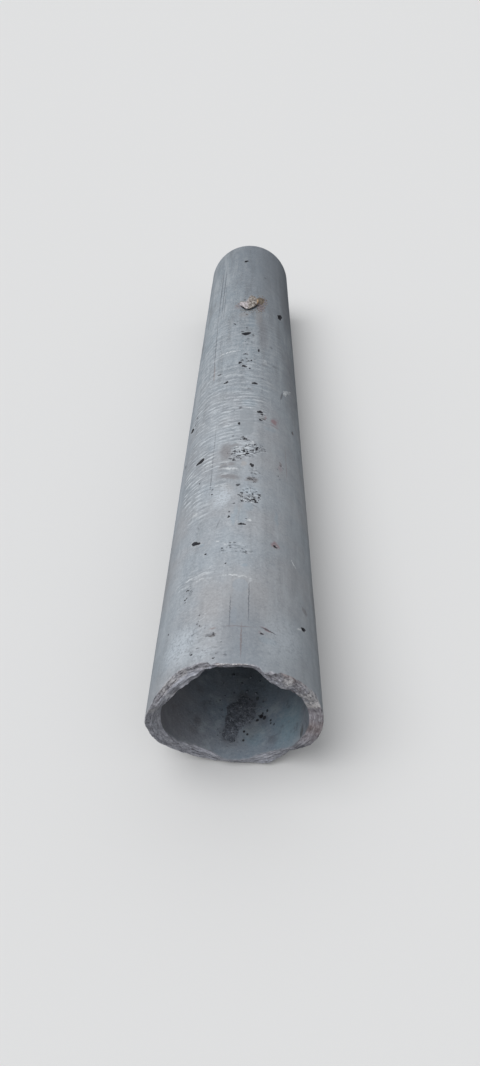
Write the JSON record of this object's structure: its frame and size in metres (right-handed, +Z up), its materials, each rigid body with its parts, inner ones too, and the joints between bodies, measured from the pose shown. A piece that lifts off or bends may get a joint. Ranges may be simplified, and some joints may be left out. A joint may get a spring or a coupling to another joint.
{
  "type": "asbestos cement pipe",
  "caption": "Plain asbestos cement pressure pipe lying on its side, with one end sawn square and the other broken off ragged.",
  "frame": {"origin": "on the floor under the pipe's axis, at the middle of its length", "axes": "+Y along the pipe from its broken end to its sawn end, +Z up, +X to the right as seen from the broken end"},
  "size_m": [0.3729, 2.9358, 0.3729],
  "materials": {
    "asbestos_cement": "weathered, matt, fine grained grey cement",
    "dried_mud": "dry, crumbly grey-brown soil and ochre mud left on the pipe"
  },
  "bodies": {
    "root": {"pipe": "asbestos_cement"}
  },
  "joints": []
}
